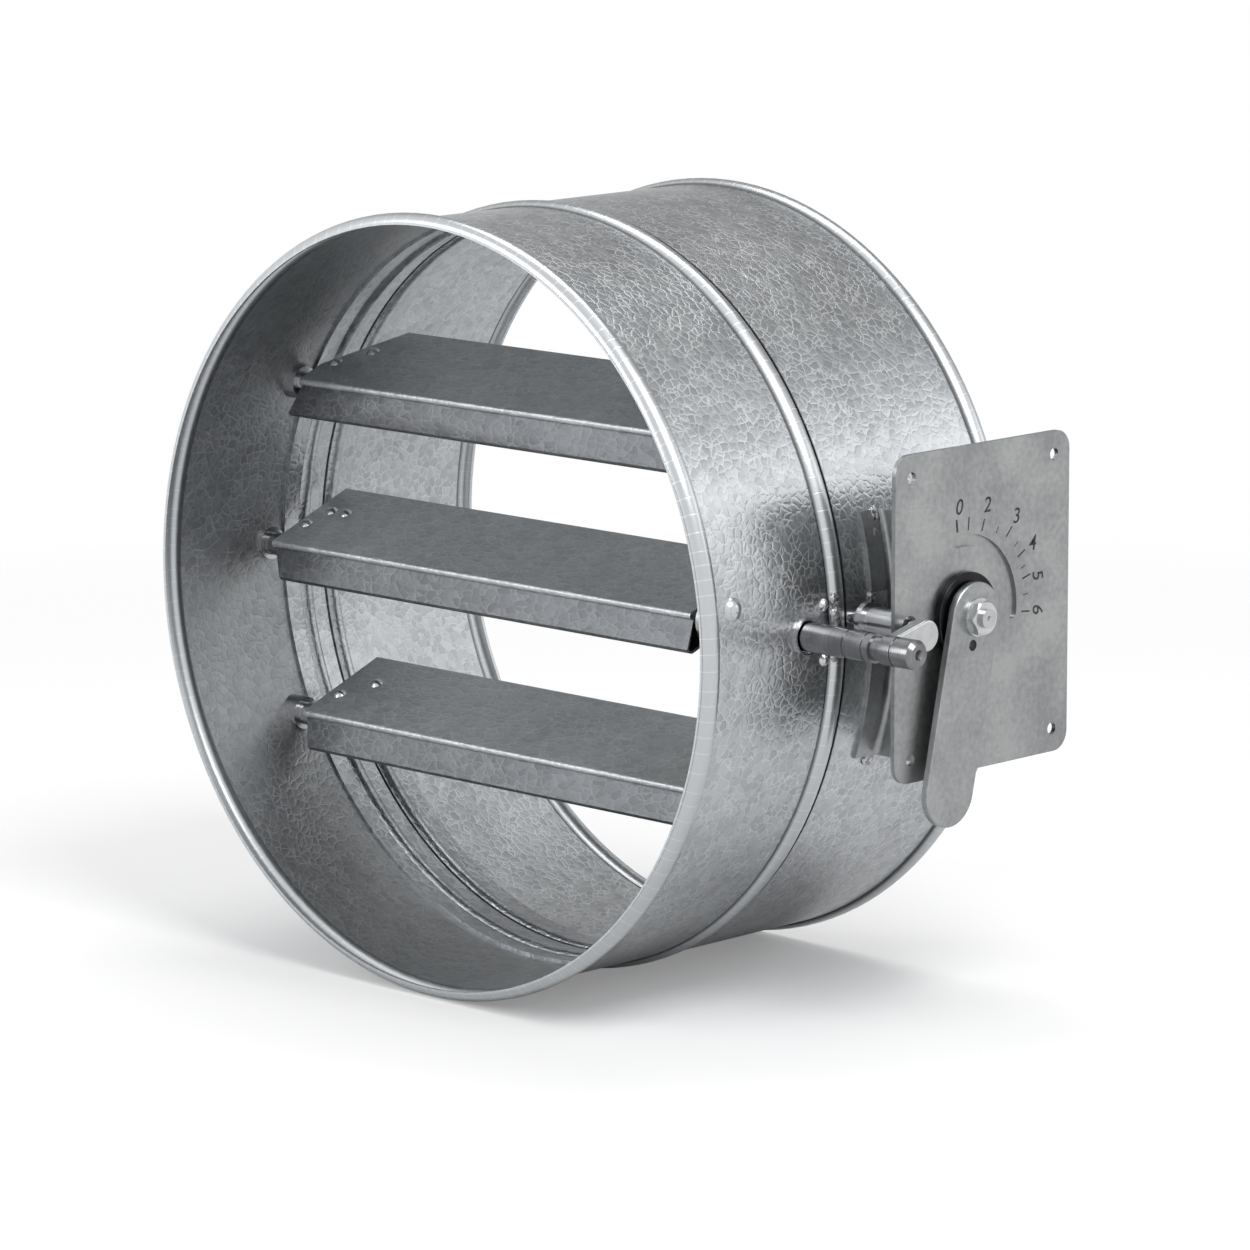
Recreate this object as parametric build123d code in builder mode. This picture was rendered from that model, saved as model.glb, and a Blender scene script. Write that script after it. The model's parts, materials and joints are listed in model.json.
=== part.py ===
from build123d import *
import os
from math import asin, cos, degrees, radians, sin, sqrt

# Duct balancing damper for a round duct of 315 mm, in millimetres
# The origin is the centre of the front rim's face. +Y runs along the duct to the rear rim,
# +X points to the side with the lever and its dial, and +Z is up.
# It is drawn with the lever on 6, where the blades stand open.

# Driving sizes of the duct casing
duct_bore = 315.0
duct_length = 182.0
sheet = 1.0
rim_lip = 1.3
rim_bead_height = 3.5
rim_bead_width = 7.0
centre_bead_y = 77.5
centre_bead_height = 2.5
centre_bead_width = 7.6
rear_shell_start = 93.5
lap_end = 107.5

# Driving sizes of the two rings inside the joint
ring_sheet = 1.2
front_ring_start = 67.3
front_ring_end = 89.0
front_ridge_y = 78.7
rear_ring_start = 90.4
rear_ring_end = 105.5
rear_ridge_y = 94.0
ridge_height = 1.8
ridge_width = 5.0
ring_notch_gap = 0.6

# Driving sizes of the blades
blade_pitch = 72.0
shaft_y = 60.0
shaft_z = 2.0
blade_tilt = 22.0
blade_travel = 68.0
blade_sheet = 1.0
blade_rear = 39.0
hem_outer_r = 1.6
hem_tail = 0.9
channel_floor = -13.5
channel_bend_r = 3.0
channel_slope_start = 2.0
channel_flange = 9.0
channel_rear_step = 1.0
blade_right_end = 104.0
middle_left_end = -145.0
outer_left_end = -126.5
corner_cut_x = 22.0
corner_cut_start = 6.0

# Driving sizes of the plugs in the blades' ends and of their rivets
plug_wall = 1.0
plug_gap = 0.1
plug_length = 24.0
plug_rear = 25.0
plug_recess = 1.5
plug_corner = 2.5
blade_rivet_d = 6.0
blade_rivet_height = 1.7
blade_rivet_shank_d = 3.2
blade_rivet_grip = 1.6
rivet_row_front = 8.5
rivet_row_rear = 20.5
middle_left_rivets = ((5.0, rivet_row_front), (9.0, rivet_row_rear), (18.0, rivet_row_rear))
outer_left_rivets = ((6.5, rivet_row_front), (18.0, rivet_row_rear))
right_end_rivets = ((7.0, rivet_row_front), (15.0, rivet_row_rear))

# Driving sizes of the shafts and their bearings
stub_d = 10.0
shaft_d = 12.0
running_gap = 0.05
stub_in_blade = 30.0
sleeve_d = 14.0
sleeve_inside = 1.5
sleeve_outside = 4.0
clip_gap = 0.3
clip_thickness = 1.2
clip_d = 14.6
clip_groove_depth = 0.8
stub_beyond_clip = 1.6
bearing_d = 14.4
bearing_face_x = 122.0
bearing_depth = 12.0
bearing_end_gap = 0.5
shaft_end_x = 218.0
shaft_chamfer = 1.6
shaft_ring_places = (182.0, 192.0, 207.0)
shaft_ring_width = 0.8
shaft_ring_depth = 0.35
centre_drill_d = 4.5
centre_drill_depth = 2.6
centre_drill_taper = 30.0

# Driving sizes of the main shaft's bush
bush_d = 18.0
bush_length = 10.0
bush_neck_d = 15.0
bush_lip = 1.2
bush_recess_d = 13.6
bush_recess_depth = 4.0
bush_flange_d = 26.0
bush_flange_sheet = 1.5
bush_ear_r = 5.0
bush_ear_back = 10.5
bush_ear_height = 11.0
bush_rivet_d = 5.5
bush_rivet_height = 1.8
bush_rivet_shank_d = 3.0

# Driving sizes of the linkage inside
crank_start_x = 106.0
crank_thickness = 3.0
crank_hub_r = 9.0
crank_end_r = 6.5
blade_crank_r = 20.0
pin_d = 6.0
pin_head_d = 9.5
pin_head_height = 1.7
side_gap = 1.0
head_gap = 0.3
tie_bar_thickness = 3.0
tie_bar_width = 12.0
tie_arm_width = 16.0
tie_arm_fillet = 6.0
open_pin_gap = 0.3
yoke_side_gap = 0.6
yoke_end_gap = 0.6
yoke_pin_beyond = 1.5

# Driving sizes of the dial plate
plate_face_x = 190.0
plate_thickness = 2.0
plate_front_y = 77.0
plate_rear_y = 182.0
plate_bottom_z = -57.0
plate_top_z = 75.0
plate_corner_r = 8.0
plate_hole_d = 5.0
plate_hole_inset = 9.5
plate_spindle_hole_d = 12.0
dial_zero_angle = 97.0
dial_full_angle = -6.0
dial_slot_r = 30.0
dial_slot_width = 5.0

# Driving sizes of the spindle and of what it carries
pivot_y = 117.6
pivot_z = 7.0
spindle_d = 10.0
spindle_neck_d = 8.0
spindle_flats = 6.6
boss_d = 35.0
boss_height = 3.2
boss_edge = 0.8
pointer_thickness = 1.0
pointer_disc_r = 12.5
pointer_reach = 16.2
pointer_tab_width = 2.6
lever_thickness = 3.0
lever_width = 28.0
lever_length = 71.0
lever_lean = 12.5
lever_edge = 0.4
lever_hole_d = 4.5
lever_hole_at = 11.5
washer_d = 15.5
washer_thickness = 1.2
nut_width = 13.0
nut_height = 3.6
nut_corner_d = 14.6
nut_chamfer = 0.8
spindle_beyond_nut = 1.6
spindle_centre_d = 2.4

# Driving sizes of the stud, its spacer and the keeper
stud_y = 85.6
stud_z = 6.2
stud_d = 6.0
stud_hole_d = 9.0
spacer_d = 11.5
spacer_collar_d = 15.0
spacer_collar_width = 2.5
spacer_start_x = 167.0
keeper_start_x = 196.0
keeper_thickness = 5.0
keeper_end_r = 6.5
keeper_end_inset = 1.0
keeper_end_drop = 2.0
keeper_neck_r = 4.5
keeper_neck_back = 7.0
keeper_edge = 1.2
keeper_play = 0.12
keeper_floor = 2.0
keeper_groove_depth = 1.0

# Driving sizes of the bracket behind the plate
bracket_sheet = 1.5
bracket_web_y = 109.3
bracket_foot = 13.0
bracket_fold_r = 4.0
bracket_flange = 12.3
bracket_bottom_z = -54.0
bracket_top_z = 47.0
bracket_notch_low = -5.0
bracket_notch_high = 15.0

# Driving sizes of the rivet in the casing
casing_rivet_y = 18.5
casing_rivet_z = 18.0
casing_rivet_d = 9.5
casing_rivet_height = 2.6
casing_rivet_shank_d = 5.0

# Sizes that follow from the driving ones
inner_r = duct_bore / 2
outer_r = inner_r + sheet
rear_outer_r = outer_r + sheet
stub_r = stub_d / 2
shaft_r = shaft_d / 2
pin_r = pin_d / 2
skin_under = stub_r + plug_wall
skin_top = skin_under + blade_sheet
channel_front = -(stub_r + plug_wall + blade_sheet)
hem_under = skin_top - 2 * hem_outer_r
levels = {"upper": shaft_z + blade_pitch, "middle": shaft_z, "lower": shaft_z - blade_pitch}
left_ends = {"upper": outer_left_end, "middle": middle_left_end, "lower": outer_left_end}
crank_end_x = crank_start_x + crank_thickness
tie_bar_x = crank_end_x + side_gap
tie_bar_end_x = tie_bar_x + tie_bar_thickness
spindle_crank_x = tie_bar_end_x + side_gap
spindle_crank_end_x = spindle_crank_x + crank_thickness
half_blade = radians(blade_travel / 2)
half_lever = radians((dial_zero_angle - dial_full_angle) / 2)
blade_crank_angle = -blade_travel / 2
spindle_crank_angle = -(dial_zero_angle - dial_full_angle) / 2
spindle_crank_r = blade_crank_r * sin(half_blade) / sin(half_lever)
plate_back_x = plate_face_x - plate_thickness
boss_face_x = plate_face_x + boss_height
pointer_x = boss_face_x + head_gap
lever_x = pointer_x + pointer_thickness
washer_x = lever_x + lever_thickness
nut_x = washer_x + washer_thickness
spindle_end_x = nut_x + nut_height + spindle_beyond_nut
lever_angle = -90 - lever_lean

os.makedirs("parts", exist_ok=True)


def wall_x(radius, z):
    """Half width of a round wall at the height z."""
    return sqrt(radius**2 - z**2)


def turned(y, z, radius, angle):
    """Point at a radius and an angle about a shaft, from +Y towards +Z."""
    return (y + radius * cos(radians(angle)), z + radius * sin(radians(angle)))


def across(x):
    """Plane across the shafts at x: its own x axis is the duct's Y, its y axis is Z."""
    return Plane.YZ.offset(x)


def blade_plane(x, level):
    """Plane across a blade: its x axis runs to the rear edge, its y axis to the top skin."""
    chord = (0, cos(radians(blade_tilt)), sin(radians(blade_tilt)))
    return Plane(origin=(x, shaft_y, level), x_dir=chord, z_dir=(1, 0, 0))


def blade_top(level):
    """Plane on a blade's top skin: its x axis is the duct's X, its y axis runs to the rear edge."""
    normal = (0, -sin(radians(blade_tilt)), cos(radians(blade_tilt)))
    return Plane(origin=(0, shaft_y, level), x_dir=(1, 0, 0), z_dir=normal).offset(skin_top)


def wall_plane(y, z):
    """Plane through the duct's axis at y that faces out through the wall at the height z."""
    lift = asin(z / outer_r)
    return Plane(origin=(0, y, 0), x_dir=(0, 1, 0), z_dir=(cos(lift), 0, sin(lift)))


def rivet(head_d, head_height, shank_d, grip):
    """Domed rivet on the Z axis, with its head above the XY plane and its shank below."""
    with BuildPart() as piece:
        with BuildSketch(Plane.XZ):
            with BuildLine():
                Polyline((0, head_height), (0, -grip), (shank_d / 2, -grip), (shank_d / 2, 0), (head_d / 2, 0))
                TangentArc((0, head_height), (head_d / 2, 0), tangent=(1, 0))
            make_face()
        revolve(axis=Axis.Z)
    return piece.part


rivet_plane = wall_plane(casing_rivet_y, casing_rivet_z)
bush_ears = [(shaft_y + bush_ear_back, shaft_z + z) for z in (bush_ear_height, -bush_ear_height)]

# Front shell: one rolled sheet with its rim bead and the centre bead
with BuildPart() as casing_front:
    with BuildSketch(Plane.XY):
        with BuildLine():
            rim_start = (inner_r, rim_lip)
            rim_end = (inner_r, rim_lip + rim_bead_width)
            bead_start = (inner_r, centre_bead_y - centre_bead_width / 2)
            bead_end = (inner_r, centre_bead_y + centre_bead_width / 2)
            Line((inner_r, 0), rim_start)
            ThreePointArc(rim_start, (inner_r + rim_bead_height, rim_lip + rim_bead_width / 2), rim_end)
            Line(rim_end, bead_start)
            ThreePointArc(bead_start, (inner_r + centre_bead_height, centre_bead_y), bead_end)
            Line(bead_end, (inner_r, lap_end))
            offset(amount=sheet, side=Side.RIGHT)
        make_face()
    revolve(axis=Axis.Y)
    with BuildSketch(across(-outer_r)):
        with Locations(*[(shaft_y, z) for z in levels.values()]):
            Circle(sleeve_d / 2)
    extrude(amount=outer_r, mode=Mode.SUBTRACT)
    with BuildSketch(across(0)):
        with Locations((shaft_y, shaft_z)):
            Circle(bush_neck_d / 2)
    extrude(amount=outer_r, mode=Mode.SUBTRACT)
    for y, z in bush_ears:
        with BuildSketch(wall_plane(y, z).offset(inner_r - sheet)):
            Circle(bush_rivet_shank_d / 2)
        extrude(amount=3 * sheet, mode=Mode.SUBTRACT)
    with BuildSketch(rivet_plane.offset(inner_r - sheet)):
        Circle(casing_rivet_shank_d / 2)
    extrude(amount=3 * sheet, mode=Mode.SUBTRACT)
casing_front.part.label = "casing_front"
export_step(casing_front.part, "parts/casing_front.step")

# Rear shell: its plain end laps over the front shell, its rim bead closes the rear
with BuildPart() as casing_rear:
    with BuildSketch(Plane.XY):
        with BuildLine():
            rim_middle = duct_length - rim_lip - rim_bead_width / 2
            rim_start = (outer_r, rim_middle - rim_bead_width / 2)
            rim_end = (outer_r, rim_middle + rim_bead_width / 2)
            Line((outer_r, rear_shell_start), rim_start)
            ThreePointArc(rim_start, (inner_r + rim_bead_height, rim_middle), rim_end)
            Line(rim_end, (outer_r, duct_length))
            offset(amount=sheet, side=Side.RIGHT)
        make_face()
    revolve(axis=Axis.Y)
    with BuildSketch(across(0)):
        with Locations((pivot_y, pivot_z)):
            Circle(sleeve_d / 2)
    extrude(amount=rear_outer_r, mode=Mode.SUBTRACT)
casing_rear.part.label = "casing_rear"
export_step(casing_rear.part, "parts/casing_rear.step")

# Rings inside the joint: two rolled strips, each with a ridge that stands into the duct
for name, start, end, ridge in (
    ("joint_ring_front", front_ring_start, front_ring_end, front_ridge_y),
    ("joint_ring_rear", rear_ring_start, rear_ring_end, rear_ridge_y),
):
    with BuildPart() as joint_ring:
        with BuildSketch(Plane.XY):
            with BuildLine():
                ridge_start = (inner_r, ridge - ridge_width / 2)
                ridge_end = (inner_r, ridge + ridge_width / 2)
                Line((inner_r, start), ridge_start)
                ThreePointArc(ridge_start, (inner_r - ridge_height, ridge), ridge_end)
                Line(ridge_end, (inner_r, end))
                offset(amount=ring_sheet, side=Side.LEFT)
            make_face()
        revolve(axis=Axis.Y)
        with BuildSketch(across(0)):
            with Locations((shaft_y, shaft_z)):
                Circle(bush_flange_d / 2 + ring_notch_gap)
            with Locations(*bush_ears):
                Circle(bush_ear_r + ring_notch_gap)
            make_hull()
        extrude(amount=outer_r, mode=Mode.SUBTRACT)
    joint_ring.part.label = name
    export_step(joint_ring.part, f"parts/{name}.step")

# Rivet in the casing's side
side_rivet = rivet(casing_rivet_d, casing_rivet_height, casing_rivet_shank_d, sheet)
with BuildPart() as casing_rivet:
    with Locations(rivet_plane.offset(outer_r)):
        add(side_rivet)
casing_rivet.part.label = "casing_rivet"
export_step(casing_rivet.part, "parts/casing_rivet.step")


def corner_cutter(level, left):
    """Wedge that trims a blade's rear left corner, so that it clears the round casing."""
    with BuildPart() as cutter:
        with BuildSketch(blade_top(level).offset(2 * hem_outer_r)):
            with BuildLine():
                Polyline(
                    (left - plug_recess, corner_cut_start),
                    (left, corner_cut_start),
                    (left + corner_cut_x, blade_rear),
                    (left + corner_cut_x, blade_rear + plug_recess),
                    (left - plug_recess, blade_rear + plug_recess),
                    close=True,
                )
            make_face()
        extrude(amount=-2 * skin_top - 4 * hem_outer_r)
    return cutter.part


def floor_inside(u):
    """Height of the channel's inside floor at the chord position u."""
    slope = (skin_under - blade_sheet - channel_floor) / (blade_rear - channel_flange - channel_slope_start)
    sloping = channel_floor + slope * (u - channel_slope_start) + blade_sheet * sqrt(1 + slope**2)
    return max(channel_floor + blade_sheet, sloping)


# Blades: a hemmed top skin over a folded channel, with a plug riveted in at each end
blade_corner = corner_cutter(levels["upper"], outer_left_end)
plug_corner_cut = corner_cutter(levels["upper"], outer_left_end + plug_recess)
skin_rivet = rivet(blade_rivet_d, blade_rivet_height, blade_rivet_shank_d, blade_sheet + blade_rivet_grip)
for name, level in levels.items():
    left = left_ends[name]
    span = blade_right_end - left
    left_rivets = middle_left_rivets if name == "middle" else outer_left_rivets
    rivet_places = [(left + inset, row) for inset, row in left_rivets]
    rivet_places += [(blade_right_end - inset, row) for inset, row in right_end_rivets]

    with BuildPart() as blade_skin:
        with BuildSketch(blade_plane(left, level)):
            with BuildLine():
                hem_low = (channel_front, hem_under)
                hem_high = (channel_front, skin_top)
                Line((channel_front + hem_tail, hem_under), hem_low)
                ThreePointArc(hem_low, (channel_front - hem_outer_r, skin_top - hem_outer_r), hem_high)
                Line(hem_high, (blade_rear, skin_top))
                offset(amount=blade_sheet, side=Side.RIGHT)
            make_face()
        extrude(amount=span)
        with BuildSketch(blade_top(level)):
            with Locations(*rivet_places):
                Circle(blade_rivet_shank_d / 2)
        extrude(amount=-blade_sheet, mode=Mode.SUBTRACT)
        if name == "upper":
            add(blade_corner, mode=Mode.SUBTRACT)
    blade_skin.part.label = f"blade_skin_{name}"
    export_step(blade_skin.part, f"parts/blade_skin_{name}.step")

    with BuildPart() as blade_channel:
        with BuildSketch(blade_plane(left, level)):
            with BuildLine():
                FilletPolyline(
                    (channel_front, hem_under),
                    (channel_front, channel_floor),
                    (channel_slope_start, channel_floor),
                    (blade_rear - channel_flange, skin_under - blade_sheet),
                    (blade_rear - channel_rear_step, skin_under - blade_sheet),
                    radius=channel_bend_r,
                )
                offset(amount=blade_sheet, side=Side.LEFT)
            make_face()
        extrude(amount=span)
        if name == "upper":
            add(blade_corner, mode=Mode.SUBTRACT)
    blade_channel.part.label = f"blade_channel_{name}"
    export_step(blade_channel.part, f"parts/blade_channel_{name}.step")

    with BuildPart() as blade_plugs:
        for start in (left + plug_recess, blade_right_end - plug_recess - plug_length):
            with BuildSketch(blade_plane(start, level)):
                with BuildLine():
                    front = channel_front + blade_sheet + plug_gap
                    Polyline(
                        (front, skin_under),
                        (plug_rear, skin_under),
                        (plug_rear, floor_inside(plug_rear) + plug_gap),
                        (channel_slope_start, floor_inside(channel_slope_start) + plug_gap),
                        (front + plug_corner, floor_inside(front) + plug_gap),
                        (front, floor_inside(front) + plug_gap + plug_corner),
                        close=True,
                    )
                make_face()
                Circle(stub_r, mode=Mode.SUBTRACT)
            extrude(amount=plug_length)
        with BuildSketch(blade_top(level)):
            with Locations(*rivet_places):
                Circle(blade_rivet_shank_d / 2)
        extrude(amount=-blade_sheet - blade_rivet_grip, mode=Mode.SUBTRACT)
        if name == "upper":
            add(plug_corner_cut, mode=Mode.SUBTRACT)
    blade_plugs.part.label = f"blade_plugs_{name}"
    export_step(blade_plugs.part, f"parts/blade_plugs_{name}.step")

    with BuildPart() as blade_rivets:
        with Locations(blade_top(level)):
            with Locations(*[(x, u, 0) for x, u in rivet_places]):
                add(skin_rivet)
    blade_rivets.part.label = f"blade_rivets_{name}"
    export_step(blade_rivets.part, f"parts/blade_rivets_{name}.step")


def sleeve_ends(level):
    """Inner and outer end of a left sleeve: square ends that stand clear of the round wall."""
    inside = wall_x(inner_r, abs(level) + sleeve_d / 2) - sleeve_inside
    outside = wall_x(outer_r, max(abs(level) - sleeve_d / 2, 0)) + sleeve_outside
    return inside, outside


# Left pivots: a sleeve welded into the wall and a retaining clip on the shaft's end
for name, level in levels.items():
    inside, outside = sleeve_ends(level)
    with BuildPart() as left_sleeve:
        with BuildSketch(across(-outside)):
            with Locations((shaft_y, level)):
                Circle(sleeve_d / 2)
                Circle(stub_r + running_gap, mode=Mode.SUBTRACT)
        extrude(amount=outside - inside)
    left_sleeve.part.label = f"left_sleeve_{name}"
    export_step(left_sleeve.part, f"parts/left_sleeve_{name}.step")

    with BuildPart() as left_clip:
        with BuildSketch(across(-outside - clip_gap - clip_thickness)):
            with Locations((shaft_y, level)):
                Circle(clip_d / 2)
                Circle(stub_r - clip_groove_depth, mode=Mode.SUBTRACT)
        extrude(amount=clip_thickness)
    left_clip.part.label = f"left_clip_{name}"
    export_step(left_clip.part, f"parts/left_clip_{name}.step")


def grooved_bar(start, end, level):
    """Round bar with the clip's groove near its left end."""
    groove = -sleeve_ends(level)[1] - clip_gap - clip_thickness
    with BuildPart() as bar:
        with BuildSketch(across(start)):
            with Locations((shaft_y, level)):
                Circle(stub_r)
        extrude(amount=end - start)
        with BuildSketch(across(groove)):
            with Locations((shaft_y, level)):
                Circle(stub_r)
                Circle(stub_r - clip_groove_depth, mode=Mode.SUBTRACT)
        extrude(amount=clip_thickness, mode=Mode.SUBTRACT)
    return bar.part


def bar_start(level):
    """Left end of a shaft, just past its clip."""
    return -sleeve_ends(level)[1] - clip_gap - clip_thickness - stub_beyond_clip


# Upper and lower blades turn on two short stubs each
for name in ("upper", "lower"):
    level = levels[name]
    grooved_stub = grooved_bar(bar_start(level), left_ends[name] + stub_in_blade, level)
    with BuildPart() as left_stub:
        add(grooved_stub)
    left_stub.part.label = f"left_stub_{name}"
    export_step(left_stub.part, f"parts/left_stub_{name}.step")

    right_stub_start = blade_right_end - stub_in_blade
    right_stub_end = bearing_face_x + bearing_depth - bearing_end_gap
    with BuildPart() as right_stub:
        with BuildSketch(across(right_stub_start)):
            with Locations((shaft_y, level)):
                Circle(stub_r)
        extrude(amount=right_stub_end - right_stub_start)
    right_stub.part.label = f"right_stub_{name}"
    export_step(right_stub.part, f"parts/right_stub_{name}.step")

    with BuildPart() as inner_bearing:
        with BuildSketch(across(bearing_face_x)):
            with Locations((shaft_y, level)):
                Circle(bearing_d / 2)
        extrude(amount=outer_r - bearing_face_x)
        with BuildSketch(Plane.XZ):
            Circle(inner_r)
        extrude(amount=duct_length, both=True, mode=Mode.INTERSECT)
        with BuildSketch(across(bearing_face_x)):
            with Locations((shaft_y, level)):
                Circle(stub_r + running_gap)
        extrude(amount=bearing_depth, mode=Mode.SUBTRACT)
    inner_bearing.part.label = f"inner_bearing_{name}"
    export_step(inner_bearing.part, f"parts/inner_bearing_{name}.step")

# Main shaft: through the middle blade and out of the casing, with turned rings and a keeper groove
grooved_shaft = grooved_bar(bar_start(shaft_z), crank_end_x, shaft_z)
shaft_grooves = [(place, shaft_ring_width, shaft_ring_depth) for place in shaft_ring_places]
shaft_grooves.append((keeper_start_x - keeper_play, keeper_thickness + 2 * keeper_play, keeper_groove_depth))
with BuildPart() as main_shaft:
    add(grooved_shaft)
    with BuildSketch(across(crank_end_x)):
        with Locations((shaft_y, shaft_z)):
            Circle(shaft_r)
    extrude(amount=shaft_end_x - crank_end_x)
    end_rim = main_shaft.edges().filter_by(GeomType.CIRCLE).sort_by(Axis.X)[-1]
    chamfer(end_rim, length=shaft_chamfer)
    for x, width, depth in shaft_grooves:
        with BuildSketch(across(x)):
            with Locations((shaft_y, shaft_z)):
                Circle(shaft_r)
                Circle(shaft_r - depth, mode=Mode.SUBTRACT)
        extrude(amount=width, mode=Mode.SUBTRACT)
    with BuildSketch(across(shaft_end_x)):
        with Locations((shaft_y, shaft_z)):
            Circle(centre_drill_d / 2)
    extrude(amount=-centre_drill_depth, taper=centre_drill_taper, mode=Mode.SUBTRACT)
main_shaft.part.label = "main_shaft"
export_step(main_shaft.part, "parts/main_shaft.step")

# Bush of the main shaft: a turned body whose eared flange lies against the round wall
with BuildPart() as shaft_bush:
    with BuildSketch(across(inner_r / 2)):
        with Locations((shaft_y, shaft_z)):
            Circle(bush_flange_d / 2)
        with Locations(*bush_ears):
            Circle(bush_ear_r)
        make_hull()
    extrude(amount=inner_r)
    with BuildSketch(Plane.XZ):
        Circle(inner_r)
    extrude(amount=duct_length, both=True, mode=Mode.INTERSECT)
    with BuildSketch(Plane.XZ):
        Circle(inner_r - bush_flange_sheet)
    extrude(amount=duct_length, both=True, mode=Mode.SUBTRACT)
    with BuildSketch(across(inner_r - bush_length)):
        with Locations((shaft_y, shaft_z)):
            Circle(bush_d / 2)
    extrude(amount=bush_length - bush_flange_sheet)
    with BuildSketch(across(inner_r - bush_length)):
        with Locations((shaft_y, shaft_z)):
            Circle(bush_neck_d / 2)
    extrude(amount=bush_length + sheet + bush_lip)
    with BuildSketch(across(inner_r - bush_length)):
        with Locations((shaft_y, shaft_z)):
            Circle(shaft_r + running_gap)
    extrude(amount=2 * bush_length, mode=Mode.SUBTRACT)
    with BuildSketch(across(outer_r + bush_lip)):
        with Locations((shaft_y, shaft_z)):
            Circle(bush_recess_d / 2)
    extrude(amount=-bush_recess_depth, mode=Mode.SUBTRACT)
    for y, z in bush_ears:
        with BuildSketch(wall_plane(y, z).offset(inner_r - 2 * bush_flange_sheet)):
            Circle(bush_rivet_shank_d / 2)
        extrude(amount=3 * bush_flange_sheet, mode=Mode.SUBTRACT)
shaft_bush.part.label = "shaft_bush"
export_step(shaft_bush.part, "parts/shaft_bush.step")

# Two rivets hold the bush's flange to the wall
bush_rivet = rivet(bush_rivet_d, bush_rivet_height, bush_rivet_shank_d, sheet + bush_flange_sheet)
with BuildPart() as bush_rivets:
    for y, z in bush_ears:
        with Locations(wall_plane(y, z).offset(outer_r)):
            add(bush_rivet)
bush_rivets.part.label = "bush_rivets"
export_step(bush_rivets.part, "parts/bush_rivets.step")

# Cranks: flat links that turn with the blades, each with a headed pin for the tie bar
for name, level in levels.items():
    pin_place = turned(shaft_y, level, blade_crank_r, blade_crank_angle)
    with BuildPart() as blade_crank:
        with BuildSketch(across(crank_start_x)):
            with Locations((shaft_y, level)):
                Circle(crank_hub_r)
            with Locations(pin_place):
                Circle(crank_end_r)
            make_hull()
            with Locations((shaft_y, level)):
                Circle(stub_r, mode=Mode.SUBTRACT)
            with Locations(pin_place):
                Circle(pin_r, mode=Mode.SUBTRACT)
        extrude(amount=crank_thickness)
    blade_crank.part.label = f"blade_crank_{name}"
    export_step(blade_crank.part, f"parts/blade_crank_{name}.step")

    with BuildPart() as crank_pin:
        with BuildSketch(across(crank_start_x)):
            with Locations(pin_place):
                Circle(pin_r)
        extrude(amount=tie_bar_end_x + head_gap - crank_start_x)
        with BuildSketch(across(tie_bar_end_x + head_gap)):
            with Locations(pin_place):
                Circle(pin_head_d / 2)
        extrude(amount=pin_head_height)
    crank_pin.part.label = f"crank_pin_{name}"
    export_step(crank_pin.part, f"parts/crank_pin_{name}.step")

# Tie bar: joins the three cranks; its rear arm holds a yoke slot for the spindle's pin
middle_pin = turned(shaft_y, shaft_z, blade_crank_r, blade_crank_angle)
yoke_travel = spindle_crank_r * (1 - cos(half_lever)) - blade_crank_r * (1 - cos(half_blade))
yoke_reach = (
    pivot_y + spindle_crank_r * cos(half_lever) - shaft_y - blade_crank_r * cos(half_blade)
    + yoke_travel / 2
)
yoke_place = (middle_pin[0] + yoke_reach, middle_pin[1] + pivot_z - shaft_z)
with BuildPart() as tie_bar:
    with BuildSketch(across(tie_bar_x)) as tie_outline:
        with Locations(middle_pin):
            SlotCenterToCenter(2 * blade_pitch, tie_bar_width, rotation=90)
        with Locations((middle_pin[0] + yoke_reach / 2, yoke_place[1])):
            Rectangle(yoke_reach, tie_arm_width)
        with Locations(yoke_place):
            Circle(tie_arm_width / 2)
    extrude(amount=tie_bar_thickness)
    roots = tie_bar.edges().filter_by(Axis.X).filter_by(
        lambda edge: abs(edge.center().Y - middle_pin[0] - tie_bar_width / 2) < running_gap
        and abs(abs(edge.center().Z - yoke_place[1]) - tie_arm_width / 2) < running_gap
    )
    fillet(roots, radius=tie_arm_fillet)
    with BuildSketch(across(tie_bar_x)):
        with Locations(middle_pin):
            Circle(pin_r + running_gap)
        with Locations(*[(middle_pin[0], middle_pin[1] + z) for z in (blade_pitch, -blade_pitch)]):
            Circle(pin_r + open_pin_gap)
        with Locations(yoke_place):
            SlotCenterToCenter(yoke_travel + 2 * yoke_end_gap, pin_d + 2 * yoke_side_gap)
    extrude(amount=tie_bar_thickness, mode=Mode.SUBTRACT)
tie_bar.part.label = "tie_bar"
export_step(tie_bar.part, "parts/tie_bar.step")

# Spindle crank and its pin, which moves the tie bar
yoke_pin_place = turned(pivot_y, pivot_z, spindle_crank_r, spindle_crank_angle)
with BuildPart() as spindle_crank:
    with BuildSketch(across(spindle_crank_x)):
        with Locations((pivot_y, pivot_z)):
            Circle(crank_hub_r)
        with Locations(yoke_pin_place):
            Circle(crank_end_r)
        make_hull()
        with Locations((pivot_y, pivot_z)):
            Circle(spindle_d / 2, mode=Mode.SUBTRACT)
        with Locations(yoke_pin_place):
            Circle(pin_r, mode=Mode.SUBTRACT)
    extrude(amount=crank_thickness)
spindle_crank.part.label = "spindle_crank"
export_step(spindle_crank.part, "parts/spindle_crank.step")

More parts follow.
